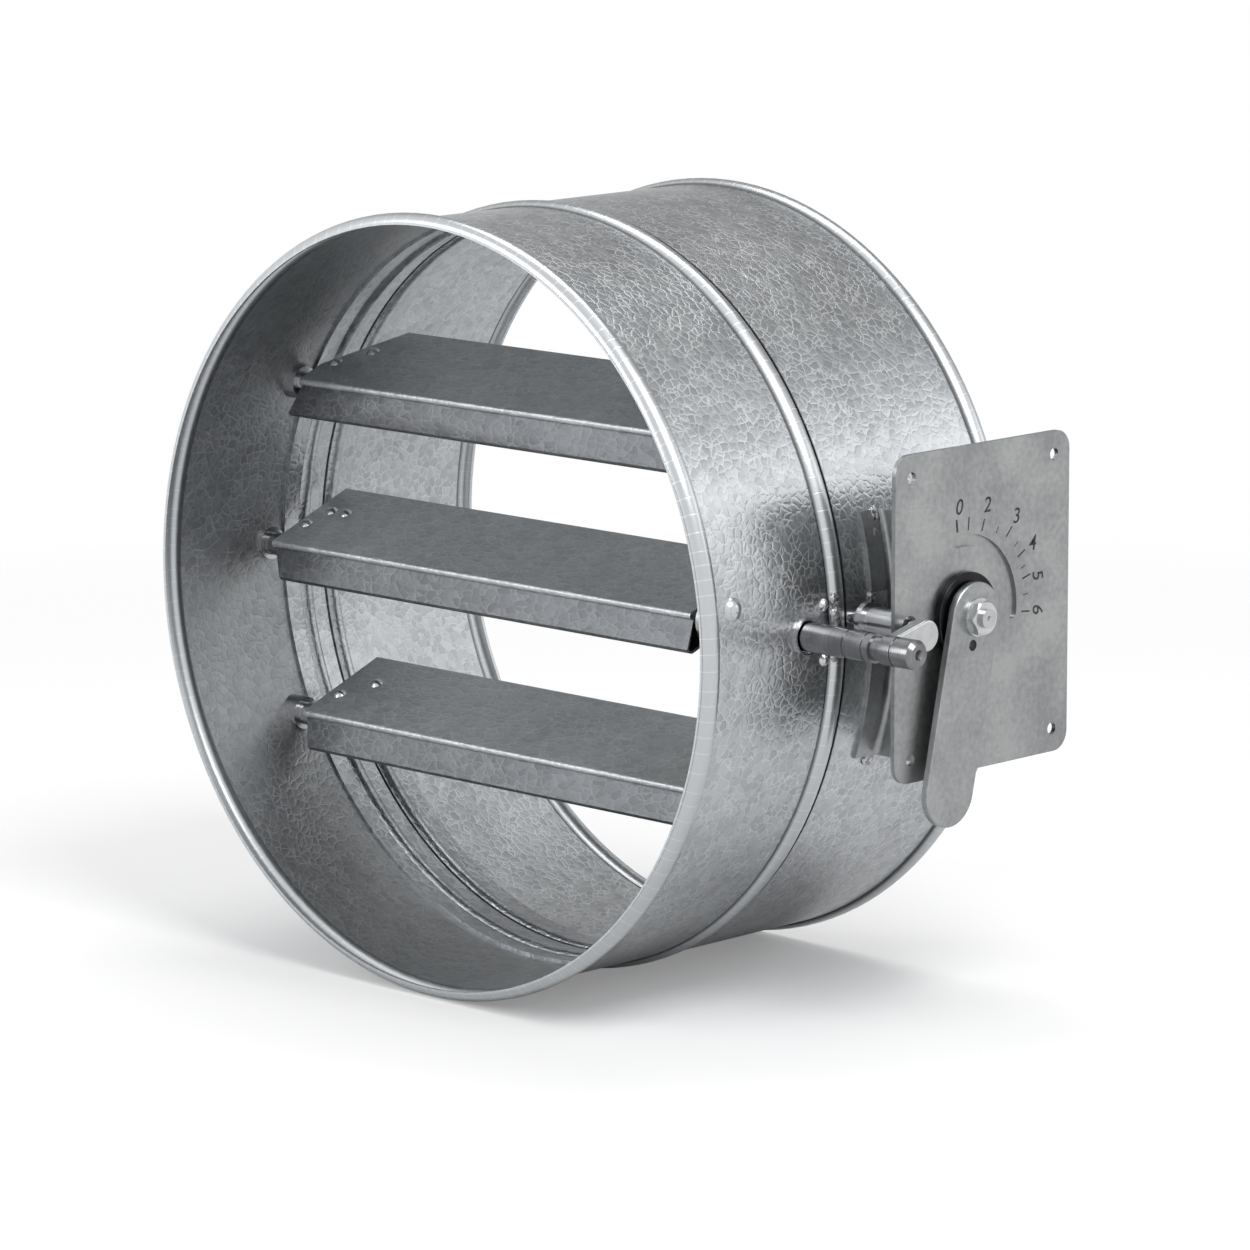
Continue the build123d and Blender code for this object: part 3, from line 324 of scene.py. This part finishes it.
# Painted shade: the blade channels are the blades' sheet painted darker, for the shade on their fronts
shaded_lip_sheet = galvanised_steel(
    "galvanised_steel_blade_lips_painted_shade", "#55575a", "#6a6c6f", "#86898b", 3.2, 0.36,
    metallic=0.85, stretch=1.6, depth=0.35,
)
plate_steel = zinc_plate("zinc_plated_steel_flat", "#8f9192", "#a9abab", 0.33)
shaft_steel = turned_steel("turned_steel_dark", "#6a6a6c", "#98989a", 0.20)
bright_steel = turned_steel("turned_steel_bright", "#a6a6a8", "#c8c8ca", 0.20)
rivet_steel = turned_steel("zinc_plated_fasteners", "#b4b6b7", "#d0d2d3", 0.22)
# Painted shade: the boss behind the lever is coloured nearly black for the dark shaded crescent around it
boss_shade_steel = turned_steel("near_black_boss_painted_shade", "#1f1f21", "#343436", 0.30)
ink = dial_ink()
weld = weld_metal()

finish_of_slot = {
    "galvanised_sheet": casing_sheet,
    "ring_sheet": ring_sheet,
    "blade_sheet": blade_sheet,
    "zinc_plate": plate_steel,
    "shaft_steel": shaft_steel,
    "turned_steel": bright_steel,
    "fasteners": rivet_steel,
}
# Pieces that look different from the others of their slot, by their name or by their kind
# The hub boss takes the nearly black steel with painted shade
finish_of_piece = {"spindle": bright_steel, "hub_boss": boss_shade_steel, "shaft_keeper": rivet_steel}
finish_of_kind = {
    # Painted shade: the channels take the darkened blade sheet
    "blade_channel": shaded_lip_sheet,
    "blade_plugs": plate_steel,
    "left_stub": bright_steel,
    "right_stub": bright_steel,
}


def deselect():
    """Leave edit mode and select nothing."""
    if bpy.context.object and bpy.context.object.mode == "EDIT":
        bpy.ops.object.mode_set(mode="OBJECT")
    bpy.ops.object.select_all(action="DESELECT")


def select_only(piece):
    """Select one piece and make it the active one."""
    deselect()
    piece.select_set(True)
    bpy.context.view_layer.objects.active = piece


def settle(piece):
    """Apply a piece's place, so that its object sits at the origin, unturned and unscaled."""
    select_only(piece)
    bpy.ops.object.transform_apply(location=True, rotation=True, scale=True)


def select_points(piece, chosen):
    """Go into edit mode with the points selected that a rule picks by their place."""
    select_only(piece)
    bpy.ops.object.mode_set(mode="EDIT")
    bpy.ops.mesh.select_mode(type="VERT")
    bpy.ops.mesh.select_all(action="DESELECT")
    bpy.ops.object.mode_set(mode="OBJECT")
    for vertex in piece.data.vertices:
        vertex.select = chosen(vertex.co)
    bpy.ops.object.mode_set(mode="EDIT")


def finish_piece(piece, material):
    """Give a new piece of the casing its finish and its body."""
    piece.data.materials.append(material)
    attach(piece, "casing")


def dress_solids():
    """Give every solid the finish of the real piece."""
    for name, solid in frame["nodes"].items():
        kind = name.rsplit("_", 1)[0]
        finish = (
            finish_of_piece.get(name) or finish_of_kind.get(kind) or finish_of_slot[slot_of_node[name]]
        )
        for slot in solid.material_slots:
            slot.material = finish
        if not solid.material_slots:
            solid.data.materials.append(finish)


def copy_solid(name, merged=True):
    """A copy of a solid that stands for it and is shaped further. A merged copy gets its shading anew."""
    deselect()
    piece = bpy.data.objects.new(f"{name}_formed", frame["nodes"][name].data.copy())
    bpy.context.scene.collection.objects.link(piece)
    select_only(piece)
    if merged:
        bpy.ops.object.mode_set(mode="EDIT")
        bpy.ops.mesh.select_all(action="SELECT")
        bpy.ops.mesh.remove_doubles(threshold=0.002 * mm)
        bpy.ops.object.mode_set(mode="OBJECT")
        bpy.ops.object.shade_smooth_by_angle(angle=radians(30))
    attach(piece, body_of_node[name])
    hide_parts(name)
    return piece


def move_points(piece, chosen, step):
    """Move the points of a mesh that a rule picks by their place."""
    select_points(piece, chosen)
    bpy.ops.transform.translate(value=step)
    bpy.ops.object.mode_set(mode="OBJECT")


# Lap of the rear shell's front edge along the duct, in millimetres: in the solid, which ends up to 1 mm
# behind it, and as it is seen, right behind the centre bead
lap_edge = 93.5
lap_edge_depth = 1
lap_seen = 82.2


def form_rear_shell():
    """Rear shell whose lap ends right behind the centre bead. Unmerged, it keeps the solid's shading."""
    shell = copy_solid("casing_rear", merged=False)
    step = Vector((0, lap_seen - lap_edge, 0)) * mm
    move_points(shell, lambda place: place.y < (lap_edge + lap_edge_depth) * mm, step)


# A blade leans by this angle at rest. Its profile is measured in millimetres from its shaft, with Y along
# it and Z across it. The first rows pick the channel's front lip, its floor and the floor's rear part, and
# the last one the lip's left end
blade_lean = radians(22)
lip_forward = Vector((0, -8.0, 4.5))
floor_raise = Vector((0, 0.0, 4.5))
channel_moves = (
    (lambda at: at.z < -9 and at.y < -2, lip_forward),
    (lambda at: at.z < -11.5 and -2 <= at.y < 4, floor_raise),
    (lambda at: at.z < -8 and at.y >= 4, Vector((0, 0.0, 3.8))),
)
plug_underside = -8.5
moved_lip_edge = -9
lip_end_shift = {"upper": -5, "middle": 6, "lower": 4}


def form_blade(name):
    """Blade channel with its front lip leaning forward, and the plugs' undersides raised with it."""
    low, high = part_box(f"left_clip_{name}")
    shaft = Vector((0, (low[1] + high[1]) / 2, (low[2] + high[2]) / 2))
    lean = Matrix.Rotation(blade_lean, 3, "X")

    def along(place):
        """Place in the blade's own profile."""
        return lean.inverted() @ (place - shaft) / mm

    channel = copy_solid(f"blade_channel_{name}")
    for chosen, step in channel_moves:
        move_points(channel, lambda place: chosen(along(place)), lean @ step * mm)
    end_step = Vector((lip_end_shift[name], 0, 0)) * mm
    move_points(channel, lambda place: along(place).y < moved_lip_edge and place.x < 0, end_step)
    plugs = copy_solid(f"blade_plugs_{name}")
    move_points(plugs, lambda place: along(place).z < plug_underside, lean @ floor_raise * mm)


# Dial: each tick is given by its outer end, each number by its middle and its lean in degrees
# Both are measured in millimetres from the lever's pivot, seen from the lever's side
bold_ticks = {
    "0": (-4.3, 38.8), "1": (3.2, 39.0), "2": (12.6, 37.2), "3": (29.3, 32.0),
    "4": (37.4, 21.6), "5": (40.9, 11.2), "6": (40.6, -4.0),
}
half_ticks = ((21.2, 33.0), (33.2, 25.4), (37.6, 15.2), (39.4, 3.4))
numbers = {
    "0": (-3.0, 43.4, 0), "2": (14.1, 42.4, 0), "3": (31.8, 35.8, 0),
    "4": (41.8, 23.5, 0), "5": (45.1, 10.4, -78), "6": (45.3, -3.6, -90),
}
tick_length = 5.2
half_tick_length = 3.0
zero_tick_width, tick_width, half_tick_width = 1.1, 0.7, 0.4
number_height = 6.4
text_size_per_height = 1.38
number_slant = 0.18
number_swelling = 0.06
ink_thickness = 0.05


def add_tick(name, end, length, width):
    """One dial tick: a thin slab along its radius, with soft ends."""
    deselect()
    reach = hypot(*end) - length / 2
    turn = atan2(end[1], end[0])
    middle = pivot + Vector((ink_thickness / 2, reach * cos(turn), reach * sin(turn))) * mm
    bpy.ops.mesh.primitive_cube_add(size=mm, location=middle, rotation=(turn, 0, 0))
    tick = bpy.context.object
    tick.name = name
    tick.scale = (ink_thickness, length, width)
    settle(tick)
    bevel = tick.modifiers.new("soft ends", "BEVEL")
    bevel.width = width * 0.3 * mm
    bevel.affect = "EDGES"
    bpy.ops.object.modifier_apply(modifier=bevel.name)
    finish_piece(tick, ink)


def add_number(figure, y, z, lean):
    """One figure of the dial, as thin raised ink on the plate."""
    deselect()
    bpy.ops.object.text_add()
    text = bpy.context.object.data
    text.body = figure
    text.size = number_height * text_size_per_height * mm
    text.align_x = "CENTER"
    text.align_y = "CENTER"
    text.shear = number_slant
    text.extrude = ink_thickness * mm / 2
    text.offset = number_swelling * mm
    bpy.ops.object.convert(target="MESH")
    piece = bpy.context.object
    piece.name = f"dial_number_{figure}"
    upright = Matrix(((0, 0, 1), (1, 0, 0), (0, 1, 0))).to_4x4()
    place = Vector((plate_face + ink_thickness * mm / 2, pivot.y + y * mm, pivot.z + z * mm))
    piece.matrix_world = Matrix.Translation(place) @ Matrix.Rotation(radians(lean), 4, "X") @ upright
    settle(piece)
    finish_piece(piece, ink)


def add_dial():
    """All the ticks and figures of the dial."""
    for figure, end in bold_ticks.items():
        width = zero_tick_width if figure == "0" else tick_width
        add_tick(f"dial_tick_{figure}", end, tick_length, width)
    for index, end in enumerate(half_ticks):
        add_tick(f"dial_half_tick_{index}", end, half_tick_length, half_tick_width)
    for figure, (y, z, lean) in numbers.items():
        add_number(figure, y, z, lean)


# Floor of the dial's slot, in millimetres: the slot's middle radius, the strip's width, which is 0.5 mm
# more than the slot's on each side, its thickness and how far its middle lies behind the plate's face
# Its turns reach 5 degrees past the slot's ends at 6 and at 0
slot_radius = 30
slot_floor_width = 6.0
slot_floor_thickness = 0.6
slot_floor_depth = 1.6
slot_floor_low = radians(-11)
slot_floor_high = radians(102)


def add_slot_floor():
    """Thin strip in the plate's thickness that makes the dial's slot a shallow groove."""
    deselect()
    # The lower edge of a small upright square lies at the strip's first end and is spun to the other one
    start = (
        -slot_floor_depth, slot_radius * cos(slot_floor_low),
        slot_radius * sin(slot_floor_low) + slot_floor_width / 2,
    )
    middle = pivot + Vector(start) * mm
    bpy.ops.mesh.primitive_plane_add(size=slot_floor_width * mm, location=middle, rotation=(0, pi / 2, 0))
    strip = bpy.context.object
    strip.name = "slot_floor"
    settle(strip)
    select_points(strip, lambda place: place.z > middle.z)
    bpy.ops.mesh.delete(type="VERT")
    bpy.ops.mesh.select_all(action="SELECT")
    # A spin goes round against the axis's own turn, so its angle is negative
    bpy.ops.mesh.spin(steps=36, angle=slot_floor_low - slot_floor_high, center=pivot, axis=(1, 0, 0))
    bpy.ops.mesh.select_all(action="SELECT")
    bpy.ops.mesh.normals_make_consistent(inside=False)
    bpy.ops.object.mode_set(mode="OBJECT")
    thicken = strip.modifiers.new("sheet", "SOLIDIFY")
    thicken.thickness = slot_floor_thickness * mm
    thicken.offset = 0
    bpy.ops.object.modifier_apply(modifier=thicken.name)
    finish_piece(strip, plate_steel)


# Weld beads: where each stands and its radius, in millimetres
weld_places = {
    "weld_bush_high": ((160.3, 74.1, 14.7), 2.4),
    "weld_bush_middle": ((160.7, 74.5, 9.0), 3.0),
    "weld_bush_low": ((160.8, 73.7, -7.5), 2.0),
    "weld_foot_high": ((153.7, 104.5, 44.6), 3.0),
    "weld_foot_upper": ((155.4, 102.6, 38.2), 2.2),
    "weld_foot_middle": ((159.5, 97.0, 13.2), 2.4),
    "weld_foot_lower": ((152.8, 106.0, -47.5), 2.2),
    "weld_foot_low": ((150.1, 105.7, -55.3), 2.8),
}
weld_lump_size = 1.1
weld_lump_height = 0.28
weld_flattening = (1.0, 1.25, 0.5)


def add_weld(name, place, size):
    """One weld bead: a flattened, lumpy drop that lies on the casing."""
    deselect()
    bpy.ops.mesh.primitive_ico_sphere_add(subdivisions=4, radius=size * mm)
    bead = bpy.context.object
    bead.name = name
    outward = Vector((place[0], 0, place[2])).normalized()
    for vertex in bead.data.vertices:
        lump = noise.noise(vertex.co / (weld_lump_size * mm) + Vector(place))
        vertex.co *= 1 + weld_lump_height * lump
    bead.scale = weld_flattening
    bead.rotation_mode = "QUATERNION"
    bead.rotation_quaternion = outward.to_track_quat("Z", "Y")
    bead.location = Vector(place) * mm
    settle(bead)
    bpy.ops.object.shade_smooth()
    finish_piece(bead, weld)


# Floor: its size and where it has faded out, in metres, and its glow towards the camera alone
floor_size = 6.0
fade_start, fade_end = 0.45, 1.1
floor_grey = 0.80
floor_glow = 0.22


def add_floor():
    """Pale floor that fades out into the white around it and keeps the object's shadow."""
    deselect()
    middle = (0, duct_middle, floor_height)
    bpy.ops.mesh.primitive_plane_add(size=floor_size, location=middle)
    ground = bpy.context.object
    ground.name = "floor"
    settle(ground)
    material, tree, shader, place = new_material("pale_floor")
    shader.inputs["Base Color"].default_value = (floor_grey, floor_grey, floor_grey, 1)
    shader.inputs["Roughness"].default_value = 0.9
    shader.inputs["Specular IOR Level"].default_value = 0.0
    seen = add_node(tree, "LightPath").outputs["Is Camera Ray"]
    strength = add_node(tree, "Math", [seen, floor_glow], operation="MULTIPLY")
    lit = add_node(tree, "AddShader", [shader, add_node(tree, "Emission", {"Strength": strength})])
    away = add_node(tree, "VectorMath", [place, middle], operation="DISTANCE")
    fade = add_node(tree, "MapRange", [away, fade_start, fade_end, 0.0, 1.0])
    mixed = add_node(tree, "MixShader", [fade, lit, add_node(tree, "BsdfTransparent")])
    tree.links.new(mixed.outputs[0], tree.nodes["Material Output"].inputs["Surface"])
    ground.data.materials.append(material)


# Lamps: place, size and power, in metres and watts. Each faces the middle of the duct
lamps = {
    "key_lamp": ((1.3, -0.2, 1.5), (1.0, 0.7), 20),
    "fill_lamp": ((-0.9, -1.6, 0.7), (1.2, 1.0), 14),
    "top_lamp": ((-0.3, 0.5, 1.7), (1.4, 0.6), 10),
    "rear_lamp": ((1.16, 1.49, 0.66), (1.2, 0.6), 1.7),
}
# The sky that metal reflects has a darker patch, high at the left rear, which fades out over these cosines
dark_patch = Vector((-0.38, 0.68, 0.63)).normalized()
patch_edge, patch_core = 0.60, 0.96
patch_depth = -0.6
sky_light = [0.42, 0.42, 0.43, 1.0]
white = [1.0, 1.0, 1.0, 1.0]


def add_lamp(name, place, size, power):
    """One soft box lamp."""
    light = bpy.data.lights.new(name, "AREA")
    light.shape = "RECTANGLE"
    light.size, light.size_y = size
    light.energy = power
    lamp = bpy.data.objects.new(name, light)
    lamp.location = place
    lamp.rotation_mode = "QUATERNION"
    lamp.rotation_quaternion = (Vector((0, duct_middle, 0)) - Vector(place)).to_track_quat("-Z", "Y")
    bpy.context.scene.collection.objects.link(lamp)


def add_sky():
    """White around the object, a moderate light from all sides, and what the metal reflects."""
    world = bpy.data.worlds.new("studio")
    bpy.context.scene.world = world
    world.use_nodes = True
    tree = world.node_tree
    way = add_node(tree, "TexCoord").outputs["Generated"]
    near = add_node(tree, "VectorMath", [way, dark_patch], operation="DOT_PRODUCT")
    shade = add_node(
        tree, "MapRange", [near, patch_edge, patch_core, 0.0, 1.0], interpolation_type="SMOOTHSTEP"
    )
    sky = add_node(tree, "Math", [shade, patch_depth, 1.0], operation="MULTIPLY_ADD")
    reflected = add_node(tree, "CombineColor", [sky, sky, sky])
    rays = add_node(tree, "LightPath").outputs
    lit = add_node(
        tree, "Mix", {"Factor": rays["Is Glossy Ray"], 6: sky_light, 7: reflected}, data_type="RGBA"
    )
    clear = add_node(
        tree, "Math", [rays["Is Camera Ray"], rays["Is Transmission Ray"]], operation="MAXIMUM"
    )
    shown = add_node(tree, "Mix", {"Factor": clear, 6: lit, 7: white}, data_type="RGBA")
    tree.links.new(shown.outputs[2], tree.nodes["Background"].inputs["Color"])


def add_camera():
    """Camera at the photograph's angle."""
    back = Vector((
        sin(camera_azimuth) * cos(camera_elevation),
        -cos(camera_azimuth) * cos(camera_elevation),
        sin(camera_elevation),
    ))
    right = Vector((0, 0, 1)).cross(back).normalized()
    up = back.cross(right)
    tilted_right = cos(camera_roll) * right + sin(camera_roll) * up
    tilted_up = cos(camera_roll) * up - sin(camera_roll) * right
    lens = bpy.data.cameras.new("camera")
    lens.lens = focal_pixels / image_size * sensor_width
    lens.sensor_width = sensor_width
    lens.clip_start = 0.01
    lens.clip_end = 50
    camera = bpy.data.objects.new("camera", lens)
    turn = Matrix((tilted_right, tilted_up, back)).transposed().to_4x4()
    camera.matrix_world = Matrix.Translation(camera_place) @ turn
    bpy.context.scene.collection.objects.link(camera)
    bpy.context.scene.camera = camera


dress_solids()
form_rear_shell()
for blade_name in lip_end_shift:
    form_blade(blade_name)
add_dial()
add_slot_floor()
for weld_name, (weld_place, weld_size) in weld_places.items():
    add_weld(weld_name, weld_place, weld_size)
add_floor()
for lamp_name, (lamp_place, lamp_size, lamp_power) in lamps.items():
    add_lamp(lamp_name, lamp_place, lamp_size, lamp_power)
add_sky()
add_camera()
bpy.context.scene.view_settings.view_transform = "Standard"
